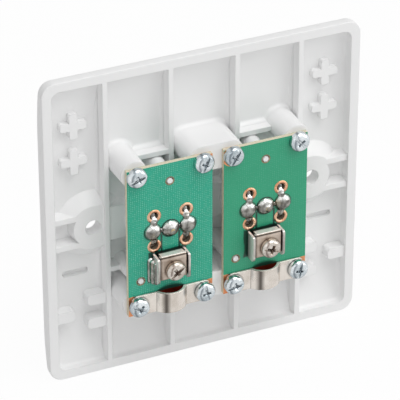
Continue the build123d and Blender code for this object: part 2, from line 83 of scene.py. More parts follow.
def linear(code):
    """Linear RGBA of an sRGB hex colour."""
    parts = [int(code[i:i + 2], 16) / 255 for i in (1, 3, 5)]
    curve = [c / 12.92 if c <= 0.04045 else ((c + 0.055) / 1.055) ** 2.4 for c in parts]
    return (*curve, 1.0)


def node(tree, kind, wires=None, **settings):
    """Add a node with its settings; wires gives each input a value or another node's output."""
    made = tree.nodes.new(kind)
    for name, value in settings.items():
        setattr(made, name, value)
    for key, value in (wires or {}).items():
        if isinstance(value, bpy.types.NodeSocket):
            tree.links.new(value, made.inputs[key])
        else:
            made.inputs[key].default_value = value
    return made


def start_material(name):
    """An empty material with its tree and its output."""
    material = bpy.data.materials.new(name)
    material.use_nodes = True
    material.node_tree.nodes.clear()
    output = material.node_tree.nodes.new("ShaderNodeOutputMaterial")
    return material, material.node_tree, output


def dress(obj, material):
    """Give a piece one material."""
    obj.data.materials.clear()
    obj.data.materials.append(material)


def dress_cad(name, material):
    """Give a CAD node that stays a better material."""
    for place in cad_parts[name].material_slots:
        place.material = material


def painted(tree, colour, layers):
    """Lay colours over one another, each by the share of the surface that it covers."""
    for share, paint in layers:
        under = linear(colour) if isinstance(colour, str) else colour
        over = linear(paint) if isinstance(paint, str) else paint
        colour = node(tree, "ShaderNodeMix", {"Factor": share, "A": under, "B": over},
                      data_type="RGBA").outputs["Result"]
    return colour


def facing(tree):
    """Which way a surface faces, as X, Y and Z."""
    normal = node(tree, "ShaderNodeNewGeometry").outputs["Normal"]
    return node(tree, "ShaderNodeSeparateXYZ", {"Vector": normal}).outputs


# Materials


def urea_moulding():
    """White urea moulding: satin at the back, with a faint orange peel, slight flow marks and soft edges."""
    material, tree, output = start_material("urea_moulding")
    coords = node(tree, "ShaderNodeTexCoord").outputs["Object"]
    # Flow marks of about 17 mm
    flow = node(tree, NOISE, {"Vector": coords, "Scale": 60.0, "Detail": 3.0}).outputs["Fac"]
    tint = painted(tree, "#eeeeee", [(flow, "#f4f4f4")])
    gloss = node(tree, RANGE, {"Value": flow, "To Min": 0.38, "To Max": 0.5}).outputs["Result"]
    # Moulded edges are about 0.35 mm round
    soft = node(tree, "ShaderNodeBevel", {"Radius": 0.35 * MM}, samples=6).outputs["Normal"]
    # Orange peel of about 0.8 mm
    peel = node(tree, NOISE, {"Vector": coords, "Scale": 1250.0, "Detail": 1.0}).outputs["Fac"]
    bump = node(tree, "ShaderNodeBump", {
        "Height": peel, "Strength": 0.08, "Distance": 0.05 * MM, "Normal": soft}).outputs["Normal"]
    shader = node(tree, "ShaderNodeBsdfPrincipled", {
        "Base Color": tint, "Roughness": gloss, "IOR": 1.55, "Normal": bump})
    tree.links.new(shader.outputs["BSDF"], output.inputs["Surface"])
    return material


def solder_mask_board(name, props, side, weave, crescent):
    """Glass-fibre board under green solder mask: woven cloth shows through the gloss, the sawn edges are
    cream, one end is bare copper, and one screw pad shows past its screw."""
    material, tree, output = start_material(name)
    # The board's lengths in millimetres
    mm = {label: getattr(props, label) / MM for label in BoardSizes.__annotations__ if "mask" not in label}
    coords = node(tree, "ShaderNodeTexCoord").outputs["Object"]
    place = node(tree, "ShaderNodeMapping", {
        "Vector": coords, "Location": (-middle_x(side) / MM, 0, 0),
        "Scale": (1 / MM, 1 / MM, 1 / MM)}).outputs["Vector"]
    across, depth, height = node(tree, "ShaderNodeSeparateXYZ", {"Vector": place}).outputs
    aside = node(tree, MATH, {0: across}, operation="ABSOLUTE").outputs[0]
    face = node(tree, COMBINE, {"X": across, "Z": height}).outputs[0]
    folded = node(tree, COMBINE, {"X": aside, "Z": height}).outputs[0]

    # Distances in millimetres from places on the board; a folded one counts on both sides of its middle
    places = {
        "middle joint": (face, 0.0, mm["outlet_z"]), "outer joint": (folded, mm["tag_x"], mm["outlet_z"]),
        "upper locating hole": (face, 0.0, mm["locate_upper"]),
        "lower locating hole": (face, mm["locate_x"], mm["locate_lower"]), "screw pad": (face, *crescent),
        "upper pad hole": (folded, mm["pad_x"], mm["pad_upper"]),
        "lower pad hole": (folded, mm["pad_x"], mm["pad_lower"])}
    away = {spot: node(tree, VECTOR_MATH, {0: plane, 1: (x, 0.0, z)}, operation="DISTANCE").outputs["Value"]
            for spot, (plane, x, z) in places.items()}

    # Cloth of one thread in 0.52 mm, a little coarser than the real 0.45 mm so that it shows, in specks
    # of about 0.8 mm, and stains of about 4 mm
    waves = node(tree, VECTOR_MATH, {0: place, "Scale": 2 * math.pi / mm["thread_pitch"]}, operation="SCALE")
    waves = node(tree, VECTOR_MATH, {0: waves.outputs[0]}, operation="SINE").outputs[0]
    patch = node(tree, NOISE, {"Vector": coords, "Scale": 1300.0, "Detail": 1.0}).outputs["Fac"]
    broken = node(tree, RANGE, {"Value": patch, "From Min": 0.35, "From Max": 0.6}).outputs["Result"]
    cloth, layers = {}, []
    for half, strength, paint in (("MAXIMUM", 1.0, props.mask_light), ("MINIMUM", 1.1, props.mask_dark)):
        thread = node(tree, VECTOR_MATH, {0: waves, 1: (0.0, 0.0, 0.0)}, operation=half).outputs[0]
        thread = node(tree, "ShaderNodeSeparateXYZ", {"Vector": thread}).outputs
        cloth[half] = node(tree, MATH, {0: thread["X"], 1: thread["Z"]}, operation="MULTIPLY").outputs[0]
        share = node(tree, MATH, {0: cloth[half], 1: broken}, operation="MULTIPLY").outputs[0]
        share = node(tree, MATH, {0: share, 1: weave * strength}, operation="MULTIPLY").outputs[0]
        layers.append((share, paint))
    stain = node(tree, NOISE, {"Vector": coords, "Scale": 240.0, "Detail": 4.0}).outputs["Fac"]
    layers.append((node(tree, MATH, {0: stain, 1: 0.3}, operation="MULTIPLY").outputs[0], props.mask_dark))

    # Grooves in the copper under the mask: two upright lines and a ring round the middle joint
    low, high = mm["groove_low"], mm["groove_high"]
    bands = [node(tree, MATH, {0: along, 1: middle, 2: half}, operation="COMPARE").outputs[0]
             for along, middle, half in (
                 (aside, mm["groove_x"], mm["groove"]), (height, (low + high) / 2, (high - low) / 2),
                 (away["middle joint"], mm["groove_ring"], mm["groove"]))]
    lines = node(tree, MATH, {0: bands[0], 1: bands[1]}, operation="MULTIPLY").outputs[0]
    groove = node(tree, MATH, {0: lines, 1: bands[2]}, operation="MAXIMUM").outputs[0]
    layers.append((node(tree, MATH, {0: groove, 1: 0.9}, operation="MULTIPLY").outputs[0], "#0b2b25"))

    # A dark ring round each outer joint, and painted shadow round the terminal in a wandering line
    darkened = node(tree, MATH, {0: away["outer joint"], 1: mm["flux_ring"], 2: mm["flux_line"]},
                 operation="COMPARE").outputs[0]
    layers.append((node(tree, MATH, {0: darkened, 1: 0.7}, operation="MULTIPLY").outputs[0], "#12261f"))
    # Painted shadow round the terminal, where shade falls between its walls and the board
    wander = node(tree, MATH, {0: stain, 1: 1.2, 2: -0.6}, operation="MULTIPLY_ADD").outputs[0]
    past = []
    for along, axis in ((across, "x"), (height, "z")):
        off = node(tree, MATH, {0: along, 1: wander}, operation="ADD").outputs[0]
        off = node(tree, MATH, {0: off, 1: mm[f"flux_{axis}"]}, operation="SUBTRACT").outputs[0]
        off = node(tree, MATH, {0: off}, operation="ABSOLUTE").outputs[0]
        past.append(node(tree, MATH, {0: off, 1: mm[f"flux_half_{axis}"]}, operation="SUBTRACT").outputs[0])
    past_shadow_edge = node(tree, MATH, {0: past[0], 1: past[1]}, operation="MAXIMUM").outputs[0]
    terminal_shadow = node(tree, RANGE, {
        "Value": past_shadow_edge, "From Min": -0.15, "From Max": 0.25, "To Min": 0.9, "To Max": 0.0})
    layers.append((terminal_shadow.outputs["Result"], "#07201a"))

    # Dark shade above the saddle's arch
    square = node(tree, MATH, {0: across, 1: across}, operation="MULTIPLY").outputs[0]
    arch = node(tree, RANGE, {
        "Value": square, "From Max": mm["arch_half"] ** 2, "To Min": 1.0, "To Max": 0.0}).outputs["Result"]
    shade = node(tree, MATH, {0: arch, 1: mm["arch_shade"], 2: 0.01}, operation="MULTIPLY_ADD").outputs[0]
    above = node(tree, MATH, {0: height, 1: mm["copper_edge"]}, operation="SUBTRACT").outputs[0]
    above = node(tree, MATH, {0: above, 1: shade}, operation="DIVIDE").outputs[0]
    dark = node(tree, RANGE, {
        "Value": above, "From Min": 0.5, "From Max": 1.1, "To Min": 0.9, "To Max": 0.0})
    layers.append((dark.outputs["Result"], "#0a2019"))

    # Brown rims and walls of the two locating holes: a bare drilled edge, with painted shade
    # for the gap round the pips
    for hole in ("upper locating hole", "lower locating hole"):
        edge = node(tree, MATH, {0: away[hole], 1: mm["locate_hole"] / 2 + mm["drilled"]},
                    operation="LESS_THAN").outputs[0]
        layers.append((edge, "#7d6c48"))

    # Bare copper below the mask's uneven edge, which wanders every 1.4 mm, painted dark red under the arch
    # for the shade there
    ragged = node(tree, NOISE, {"Vector": coords, "Scale": 700.0, "Detail": 2.0}).outputs["Fac"]
    edge = node(tree, MATH, {0: ragged, 1: mm["uneven"], 2: mm["copper_edge"] - mm["uneven"] / 2},
                operation="MULTIPLY_ADD").outputs[0]
    bare = node(tree, MATH, {0: height, 1: edge}, operation="LESS_THAN").outputs[0]
    pad = node(tree, MATH, {0: away["screw pad"], 1: mm["screw_pad"] / 2}, operation="LESS_THAN").outputs[0]
    bare = node(tree, MATH, {0: bare, 1: pad}, operation="MAXIMUM").outputs[0]
    # Painted shade: the copper under the saddle's arch is darkened to dark red
    under = node(tree, MATH, {0: arch, 1: 0.0}, operation="GREATER_THAN").outputs[0]
    lower = node(tree, MATH, {0: height, 1: 0.0}, operation="LESS_THAN").outputs[0]
    under = node(tree, MATH, {0: under, 1: lower}, operation="MULTIPLY").outputs[0]
    layers.append((bare, painted(tree, "#c87444", [(ragged, "#efac80"), (under, "#8c2c1c")])))

    # Sawn edge between the two faces, with fibres of about 0.4 mm, and the walls of the pad holes
    low, high = BOARD_LOW[side][1] / MM, BOARD_HIGH[side][1] / MM
    inside = node(tree, MATH, {0: depth, 1: (low + high) / 2, 2: (high - low) / 2 - mm["face"]},
                  operation="COMPARE").outputs[0]
    fibres = node(tree, NOISE, {"Vector": coords, "Scale": 2600.0, "Detail": 3.0}).outputs["Fac"]
    layers.append((inside, painted(tree, "#c0b394", [(fibres, "#f1ead6")])))
    for hole in ("upper pad hole", "lower pad hole"):
        wall = node(tree, MATH, {0: away[hole], 1: mm["pad_hole"] / 2 + mm["pad_wall"]},
                    operation="LESS_THAN").outputs[0]
        layers.append((wall, "#8a7d6a"))

    metal = node(tree, MATH, {0: 1.0, 1: inside}, operation="SUBTRACT").outputs[0]
    metal = node(tree, MATH, {0: metal, 1: bare}, operation="MULTIPLY").outputs[0]
    metal = node(tree, MATH, {0: metal, 1: 0.8}, operation="MULTIPLY").outputs[0]
    rough = node(tree, MATH, {0: inside, 1: 0.4, 2: 0.36}, operation="MULTIPLY_ADD").outputs[0]
    bump = node(tree, "ShaderNodeBump", {
        "Height": cloth["MAXIMUM"], "Strength": 0.15, "Distance": 0.02 * MM}).outputs["Normal"]
    colour = painted(tree, props.mask_left if side == "left" else props.mask_right, layers)
    shader = node(tree, "ShaderNodeBsdfPrincipled", {
        "Base Color": colour, "Roughness": rough, "Metallic": metal, "IOR": 1.5, "Normal": bump})
    tree.links.new(shader.outputs["BSDF"], output.inputs["Surface"])
    return material


def with_painted_shade(tree, way, colour, dark, reach, band, low, streak_facing=0.3, soft=0.2):
    """A colour over painted shade: it goes dark in hollows within a reach, on faces whose way is down,
    where its share falls to the low one, and in a painted dark streak of reflection on faces that lean
    sideways to the streak's facing, where it loses the band's share."""
    # Painted shade in hollows within the reach
    open_sky = node(tree, "ShaderNodeAmbientOcclusion", {"Distance": reach}, samples=8).outputs["AO"]
    share = node(tree, RANGE, {"Value": open_sky, "From Min": 0.3, "From Max": 0.8}).outputs["Result"]
    # Painted shade on faces that look down
    down = node(tree, RANGE, {
        "Value": way["Z"], "From Min": -0.75, "From Max": 0.05, "To Min": low}).outputs["Result"]
    # Painted dark streak of reflection on faces that lean sideways to the streak's facing
    off = node(tree, MATH, {0: way["X"], 1: streak_facing}, operation="SUBTRACT").outputs[0]
    off = node(tree, MATH, {0: off}, operation="ABSOLUTE").outputs[0]
    streak = node(tree, RANGE, {
        "Value": off, "From Min": 0.03, "From Max": soft, "To Min": 1.0 - band}).outputs["Result"]
    for part in (down, streak):
        share = node(tree, MATH, {0: share, 1: part}, operation="MULTIPLY").outputs[0]
    return painted(tree, dark, [(share, colour)])


def plated_metal(name, bright, dull, smooth, rough, grain, dark, lined, sheared_and_lit=None, sunk=None,
                 streak_facing=(0.3, 0.2), lip_shade=None, band=0.7):
    """Plated metal: the rolled or turned surface under the plate breaks up the shine a little, in clouds
    of about 4 mm and in a grain of so many marks in a metre along each axis. Faces that look up or
    sideways are painted pale and dull, a painted highlight that also stands for duller cut edges, and
    a terminal gets painted shade near its board, which fades between two heights in millimetres. A lip
    shade is a painted dark line of shade along the front face at a height, and without one the faces
    that look up stay out of the painted shade near the board."""
    material, tree, output = start_material(name)
    coords = node(tree, "ShaderNodeTexCoord").outputs["Object"]
    cloud = node(tree, NOISE, {"Vector": coords, "Scale": 260.0, "Detail": 3.0}).outputs["Fac"]
    drawn = node(tree, "ShaderNodeMapping", {"Vector": coords, "Scale": grain}).outputs["Vector"]
    lines = node(tree, NOISE, {"Vector": drawn, "Scale": 1.0, "Detail": 3.0}).outputs["Fac"]
    both = node(tree, MATH, {0: lines, 1: lined, 2: cloud}, operation="MULTIPLY_ADD").outputs[0]
    middle = 0.5 + 0.5 * lined
    spread = node(tree, RANGE, {
        "Value": both, "From Min": middle - 0.25, "From Max": middle + 0.25}).outputs["Result"]
    tint = painted(tree, dull, [(spread, bright)])
    gloss = node(tree, RANGE, {"Value": cloud, "To Min": smooth, "To Max": rough}).outputs["Result"]
    # Drawn and turned lines, 0.2 to 0.8 mm apart
    bump = node(tree, "ShaderNodeBump", {"Height": lines, "Strength": 0.12 * lined, "Distance": 0.02 * MM})
    shine, way = 1.0, facing(tree)
    # Painted highlight: faces that look up or sideways turn pale and less metallic, also for duller cut edges
    if sheared_and_lit:
        most = node(tree, MATH, {0: way["X"], 1: way["Z"]}, operation="MAXIMUM").outputs[0]
        cut = node(tree, RANGE, {"Value": most, "From Min": 0.6, "From Max": 0.9}).outputs["Result"]
        shine = node(tree, MATH, {0: cut, 1: -0.75, 2: 1.0}, operation="MULTIPLY_ADD").outputs[0]
        tint = painted(tree, tint, [(cut, sheared_and_lit)])
    colour = with_painted_shade(tree, way, tint, dark, reach=0.8 * MM, band=band, low=0.45, streak_facing=streak_facing[0], soft=streak_facing[1])
    # Painted shade near the board: the colour goes dark towards it between two heights above it
    if sunk:
        place = node(tree, "ShaderNodeSeparateXYZ", {"Vector": coords}).outputs
        depth = node(tree, MATH, {0: cloud, 1: 0.6 * MM, 2: place["Y"]}, operation="MULTIPLY_ADD").outputs[0]
        foot, top = (BOARD_BACK + (0.3 + height) * MM for height in sunk)
        unshaded = node(tree, RANGE, {"Value": depth, "From Min": foot, "From Max": top}).outputs["Result"]
        if lip_shade is None:
            upward = node(tree, MATH, {0: way["Z"], 1: 0.7}, operation="GREATER_THAN").outputs[0]
            unshaded = node(tree, MATH, {0: unshaded, 1: upward}, operation="MAXIMUM").outputs[0]
        else:
            # A painted line of shade along the front face at the lip shade's height
            off = node(tree, MATH, {0: place["Z"], 1: lip_shade}, operation="SUBTRACT").outputs[0]
            off = node(tree, MATH, {0: off}, operation="ABSOLUTE").outputs[0]
            line = node(tree, RANGE, {
                "Value": off, "From Min": 0.12 * MM, "From Max": 0.28 * MM, "To Min": 0.15}).outputs["Result"]
            unshaded = node(tree, MATH, {0: unshaded, 1: line}, operation="MULTIPLY").outputs[0]
        colour = painted(tree, "#15120f", [(unshaded, colour)])
    shader = node(tree, "ShaderNodeBsdfPrincipled", {
        "Base Color": colour, "Roughness": gloss, "Metallic": shine, "Normal": bump.outputs["Normal"]})
    tree.links.new(shader.outputs["BSDF"], output.inputs["Surface"])
    return material


def nickel_strip():
    """Bright nickel on formed steel strip: warm grey with a soft mirror."""
    return plated_metal(
        "nickel_plated_strip", "#ebe4dc", "#cbc2b8", smooth=0.22, rough=0.32, grain=(3000, 5000, 500),
        dark="#3a332d", lined=0.2, sheared_and_lit="#f2ebe3", streak_facing=(0.44, 0.24), band=0.88)


def nickel_screw():
    """The same nickel on the turned terminal screws, with painted brown shade in the recess."""
    return plated_metal(
        "nickel_plated_screw", "#ece6df", "#b5aba0", smooth=0.2, rough=0.34, grain=(2500, 2500, 2500),
        dark="#52392c", lined=0.6)


def nickel_cage():
    """The terminal's cage: the same nickel, painted pale and dull on faces that look up or sideways,
    and painted shade near the board.
    """
    return plated_metal(
        "nickel_plated_cage", "#dcd7d1", "#8a837c", smooth=0.26, rough=0.4, grain=(3000, 5000, 300),
        dark="#2a2520", lined=1.0, sheared_and_lit="#fff6f2", sunk=(-0.2, 3.3))


def nickel_clamp(lip_shade):
    """The terminal's clamp plate: browned by handling, with a painted line of shade under its lip
    and painted shade near the board.
    """
    return plated_metal(
        "nickel_plated_clamp", "#cdbfb2", "#9c8c7f", smooth=0.3, rough=0.42, grain=(1200, 5000, 1200),
        dark="#4b3f36", lined=0.5, sheared_and_lit="#f7f2ec", sunk=(1.0, 1.5), lip_shade=lip_shade)


def clear_zinc():
    """Clear-passivated zinc on turned screws: a cool, bluish shine."""
    return plated_metal(
        "clear_zinc_plate", "#eef3f5", "#a9b4ba", smooth=0.14, rough=0.28, grain=(2500, 2500, 2500),
        dark="#525d65", lined=0.45)


def tin_solder():
    """Cooled tin solder: a soft mirror in folds of about 1.4 mm, with a painted highlight on faces that
    look up and painted shade where it meets the board and on faces that look down, with a film of flux
    in patches of about 4 mm."""
    material, tree, output = start_material("cooled_tin_solder")
    coords = node(tree, "ShaderNodeTexCoord").outputs["Object"]
    skin = node(tree, NOISE, {"Vector": coords, "Scale": 700.0, "Detail": 3.0}).outputs["Fac"]
    film = node(tree, NOISE, {"Vector": coords, "Scale": 260.0, "Detail": 2.0}).outputs["Fac"]
    spread = node(tree, RANGE, {"Value": skin, "From Min": 0.35, "From Max": 0.65})
    way = facing(tree)
    # Painted highlight on faces that look up
    shine = node(tree, RANGE, {"Value": way["Z"], "From Min": 0.25, "From Max": 0.7})
    flux = node(tree, RANGE, {"Value": film, "From Min": 0.55, "From Max": 0.75, "To Max": 0.6})
    tint = painted(tree, "#6b6964", [
        (spread.outputs["Result"], "#a9a7a1"), (shine.outputs["Result"], "#f4f4f2"),
        (flux.outputs["Result"], "#b9ab90")])
    bump = node(tree, "ShaderNodeBump", {"Height": skin, "Strength": 0.25, "Distance": 0.14 * MM})
    colour = with_painted_shade(tree, way, tint, "#1d1a14", reach=0.9 * MM, band=0.45, low=0.5)
    shader = node(tree, "ShaderNodeBsdfPrincipled", {
        "Base Color": colour, "Roughness": 0.24, "Metallic": 0.95, "Normal": bump.outputs["Normal"]})
    tree.links.new(shader.outputs["BSDF"], output.inputs["Surface"])
    return material


def etched_copper():
    """Bare copper foil: peach-coloured, pale where it is scratched, a little oxidised."""
    return plated_metal(
        "etched_copper_foil", "#ffe0c2", "#e29a6c", smooth=0.3, rough=0.45, grain=(3000, 3000, 3000),
        dark="#8a4a2c", lined=1.0)


def turned_brass():
    """Tinned brass of the centre contact."""
    return plated_metal(
        "turned_brass", "#d9c48c", "#bda468", smooth=0.22, rough=0.36, grain=(2500, 400, 2500),
        dark="#4a3f22", lined=1.0)


def natural_acetal():
    """Natural acetal of the insulating bush: milky, waxy, with a faint mottle of about 2 mm."""
    material, tree, output = start_material("natural_acetal")
    coords = node(tree, "ShaderNodeTexCoord").outputs["Object"]
    milk = node(tree, NOISE, {"Vector": coords, "Scale": 500.0, "Detail": 3.0}).outputs["Fac"]
    bump = node(tree, "ShaderNodeBump", {"Height": milk, "Strength": 0.1, "Distance": 0.05 * MM})
    shader = node(tree, "ShaderNodeBsdfPrincipled", {
        "Base Color": painted(tree, "#dcdad2", [(milk, "#efeee8")]), "Roughness": 0.45, "IOR": 1.48,
        "Normal": bump.outputs["Normal"]})
    tree.links.new(shader.outputs["BSDF"], output.inputs["Surface"])
    return material


def seen(tree):
    """One where the camera or a reflection looks straight at it, and nothing for the light that it gives."""
    ray = node(tree, "ShaderNodeLightPath").outputs
    direct = node(tree, MATH, {0: ray["Is Camera Ray"], 1: ray["Is Glossy Ray"]}, operation="MAXIMUM")
    return direct.outputs[0]


# Making pieces


def link(name, mesh):
    """Put a mesh in the scene as an object at the origin."""
    obj = bpy.data.objects.new(name, mesh)
    bpy.context.scene.collection.objects.link(obj)
    return obj


def settled(obj):
    """Apply an object's modifiers, so that it is a plain mesh."""
    graph = bpy.context.evaluated_depsgraph_get()
    result = bpy.data.meshes.new_from_object(obj.evaluated_get(graph), depsgraph=graph)
    obj.modifiers.clear()
    obj.data = result
    return obj


def grown(name, mesh, tree, sizes):
    """Run a node tree over a start mesh; sizes gives the tree's named inputs."""
    obj = link(name, mesh)
    maker = obj.modifiers.new("maker", "NODES")
    maker.node_group = tree
    for item in tree.interface.items_tree:
        if item.in_out == "INPUT" and item.name in sizes:
            maker[item.identifier] = sizes[item.name]
    return obj


def outward(obj):
    """Turn all faces of a closed mesh outwards."""
    shape = bmesh.new()
    shape.from_mesh(obj.data)
    bmesh.ops.recalc_face_normals(shape, faces=shape.faces)
    shape.to_mesh(obj.data)
    shape.free()
    return obj


def softened(cad_name, name, width, steps=3):
    """A merged copy of a CAD node with its sharp edges rounded, which stands for that node."""
    shape = bmesh.new()
    shape.from_mesh(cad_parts[cad_name].data)
    bmesh.ops.remove_doubles(shape, verts=shape.verts, dist=0.002 * MM)
    bmesh.ops.dissolve_limit(shape, angle_limit=math.radians(0.8), verts=shape.verts, edges=shape.edges)
    mesh = bpy.data.meshes.new(name)
    shape.to_mesh(mesh)
    shape.free()
    obj = link(name, mesh)
    round_over = obj.modifiers.new("round_over", "BEVEL")
    round_over.width = width
    round_over.segments = steps
    round_over.limit_method = "ANGLE"
    round_over.angle_limit = math.radians(35)
    settled(obj)
    return flat_faced(obj)


def flat_faced(obj):
    """Smooth shading in which the large faces stay flat."""
    obj.data.shade_smooth()
    obj.data.set_sharp_from_angle(angle=math.radians(40))
    even = obj.modifiers.new("even", "WEIGHTED_NORMAL")
    even.weight = 100
    even.keep_sharp = True
    return settled(obj)


def shifted(obj, axis, limit, by, lean=0.0):
    """Move the part of a mesh beyond a limit along one axis, by more the further it is from the board."""
    for vert in obj.data.vertices:
        if vert.co[axis] > limit:
            vert.co[axis] += by + lean * (vert.co[1] - BOARD_BACK)


def new_tree(name, lengths, others=None):
    """A geometry tree whose inputs are lengths or of other kinds; returns it, its input and its output."""
    tree = bpy.data.node_groups.new(name, "GeometryNodeTree")
    tree.interface.new_socket("Geometry", in_out="INPUT", socket_type="NodeSocketGeometry")
    kinds = {label: "NodeSocketFloat" for label in lengths}
    for label, kind in {**kinds, **(others or {})}.items():
        tree.interface.new_socket(label, in_out="INPUT", socket_type=kind)
    tree.interface.new_socket("Geometry", in_out="OUTPUT", socket_type="NodeSocketGeometry")
    return tree, tree.nodes.new("NodeGroupInput").outputs, tree.nodes.new("NodeGroupOutput")


def finished(tree, output, geometry, material):
    """End a tree with real faces in their material."""
    real = node(tree, "GeometryNodeRealizeInstances", {"Geometry": geometry})
    coated = node(tree, "GeometryNodeSetMaterial", {"Geometry": real.outputs[0], "Material": material})
    tree.links.new(coated.outputs[0], output.inputs[0])
    return tree


def screw_tree(material):
    """A pan-head screw with slot, cross recess and thread, built in millimetres along Z."""
    tree, sizes, output = new_tree("pan_head_screw", (
        "Head Diameter", "Head Height", "Head Wall", "Shank Diameter", "Length", "Pitch", "Slot Width",
        "Slot Depth", "Recess Span", "Recess Width", "Recess Depth", "Turn"), {"Place": "NodeSocketVector"})
    derived, lift = {}, {}
    for label, source, factor in (
            ("radius", "Head Diameter", 0.5), ("slot", "Head Diameter", 1.5), ("slot cut", "Slot Depth", 2.0),
            ("recess cut", "Recess Depth", 2.0), ("core", "Shank Diameter", 0.42),
            ("ridge", "Shank Diameter", 0.08), ("threaded", "Length", 0.9), ("middle", "Head Height", 0.5),
            ("top", "Head Height", 1.0), ("half down", "Length", -0.5), ("thread foot", "Length", -0.97)):
        derived[label] = node(tree, MATH, {0: sizes[source], 1: factor}, operation="MULTIPLY").outputs[0]
        if label in ("middle", "top", "half down", "thread foot"):
            lift[label] = node(tree, COMBINE, {"Z": derived[label]}).outputs[0]

    # Head: a cylinder whose upper part is drawn in to a dome
    blank = node(tree, "GeometryNodeMeshCylinder", {
        "Vertices": 48, "Side Segments": 18, "Fill Segments": 3, "Radius": derived["radius"],
        "Depth": sizes["Head Height"]}).outputs["Mesh"]
    blank = node(tree, TRANSFORM, {"Geometry": blank, "Translation": lift["middle"]}).outputs[0]
    spot = node(tree, "GeometryNodeInputPosition").outputs[0]
    level = node(tree, "ShaderNodeSeparateXYZ", {"Vector": spot}).outputs["Z"]
    share = node(tree, RANGE, {
        "Value": level, "From Min": sizes["Head Wall"], "From Max": sizes["Head Height"]}).outputs["Result"]
    fall = node(tree, MATH, {0: share}, operation="ARCSINE").outputs[0]
    fall = node(tree, MATH, {0: fall}, operation="COSINE").outputs[0]
    pull = node(tree, MATH, {0: fall, 1: 0.58, 2: 0.42}, operation="MULTIPLY_ADD").outputs[0]
    pull = node(tree, COMBINE, {"X": pull, "Y": pull, "Z": 1.0}).outputs[0]
    drawn = node(tree, VECTOR_MATH, {0: spot, 1: pull}, operation="MULTIPLY").outputs[0]
    dome = node(tree, "GeometryNodeSetPosition", {"Geometry": blank, "Position": drawn}).outputs[0]

    # Cutters: the slot, and two wings that narrow to their foot
    sunk = node(tree, MATH, {0: level, 1: sizes["Head Height"]}, operation="LESS_THAN").outputs[0]
    narrow = node(tree, MATH, {0: sunk, 1: -0.6, 2: 1.0}, operation="MULTIPLY_ADD").outputs[0]
    narrow = node(tree, COMBINE, {"X": narrow, "Y": narrow, "Z": 1.0}).outputs[0]
    tapered = node(tree, VECTOR_MATH, {0: spot, 1: narrow}, operation="MULTIPLY").outputs[0]
    head = node(tree, "GeometryNodeMeshBoolean", {"Mesh 1": dome}, operation="DIFFERENCE", solver="EXACT")
    for first, second, cut in (
            (derived["slot"], sizes["Slot Width"], "slot cut"),
            (sizes["Recess Span"], sizes["Recess Width"], "recess cut"),
            (sizes["Recess Width"], sizes["Recess Span"], "recess cut")):
        size = node(tree, COMBINE, {"X": first, "Y": second, "Z": derived[cut]}).outputs[0]
        cutter = node(tree, "GeometryNodeMeshCube", {"Size": size}).outputs["Mesh"]
        cutter = node(tree, TRANSFORM, {"Geometry": cutter, "Translation": lift["top"]}).outputs[0]
        if cut == "recess cut":
            cutter = node(tree, "GeometryNodeSetPosition", {
                "Geometry": cutter, "Position": tapered}).outputs[0]
        tree.links.new(cutter, head.inputs["Mesh 2"])

    # Shank with a thread wound round it
    shank = node(tree, "GeometryNodeMeshCylinder", {
        "Vertices": 32, "Radius": derived["core"], "Depth": sizes["Length"]}).outputs["Mesh"]
    shank = node(tree, TRANSFORM, {"Geometry": shank, "Translation": lift["half down"]}).outputs[0]
    turns = node(tree, MATH, {0: derived["threaded"], 1: sizes["Pitch"]}, operation="DIVIDE").outputs[0]
    helix = node(tree, "GeometryNodeCurveSpiral", {
        "Resolution": 28, "Rotations": turns, "Start Radius": derived["core"], "End Radius": derived["core"],
        "Height": derived["threaded"]}).outputs["Curve"]
    ridge = node(tree, "GeometryNodeCurvePrimitiveCircle", {"Resolution": 3, "Radius": derived["ridge"]})
    thread = node(tree, "GeometryNodeCurveToMesh", {
        "Curve": helix, "Profile Curve": ridge.outputs["Curve"], "Fill Caps": True}).outputs["Mesh"]
    thread = node(tree, TRANSFORM, {"Geometry": thread, "Translation": lift["thread foot"]}).outputs[0]

    whole = node(tree, "GeometryNodeJoinGeometry")
    for part in (head.outputs["Mesh"], shank, thread):
        tree.links.new(part, whole.inputs["Geometry"])
    turn = node(tree, COMBINE, {"Z": sizes["Turn"]}).outputs[0]
    turned = node(tree, TRANSFORM, {"Geometry": whole.outputs[0], "Rotation": turn}).outputs[0]
    placed = node(tree, TRANSFORM, {
        "Geometry": turned, "Translation": sizes["Place"], "Rotation": (-math.pi / 2, 0.0, 0.0),
        "Scale": (MM, MM, MM)}).outputs[0]
    return finished(tree, output, placed, material)


def ring_tree(material):
    """A flat ring of foil round each point of the start mesh."""
    tree, sizes, output = new_tree("foil_rings", ("Middle", "Width", "Thickness"))
    circle = node(tree, "GeometryNodeCurvePrimitiveCircle", {"Resolution": 40, "Radius": sizes["Middle"]})
    strip = node(tree, "GeometryNodeCurvePrimitiveQuadrilateral", {
        "Width": sizes["Width"], "Height": sizes["Thickness"]})
    ring = node(tree, "GeometryNodeCurveToMesh", {
        "Curve": circle.outputs["Curve"], "Profile Curve": strip.outputs["Curve"]}).outputs["Mesh"]
    flat = node(tree, TRANSFORM, {"Geometry": ring, "Rotation": (math.pi / 2, 0.0, 0.0)}).outputs[0]
    spread = node(tree, "GeometryNodeInstanceOnPoints", {"Points": sizes["Geometry"], "Instance": flat})
    return finished(tree, output, spread.outputs[0], material)


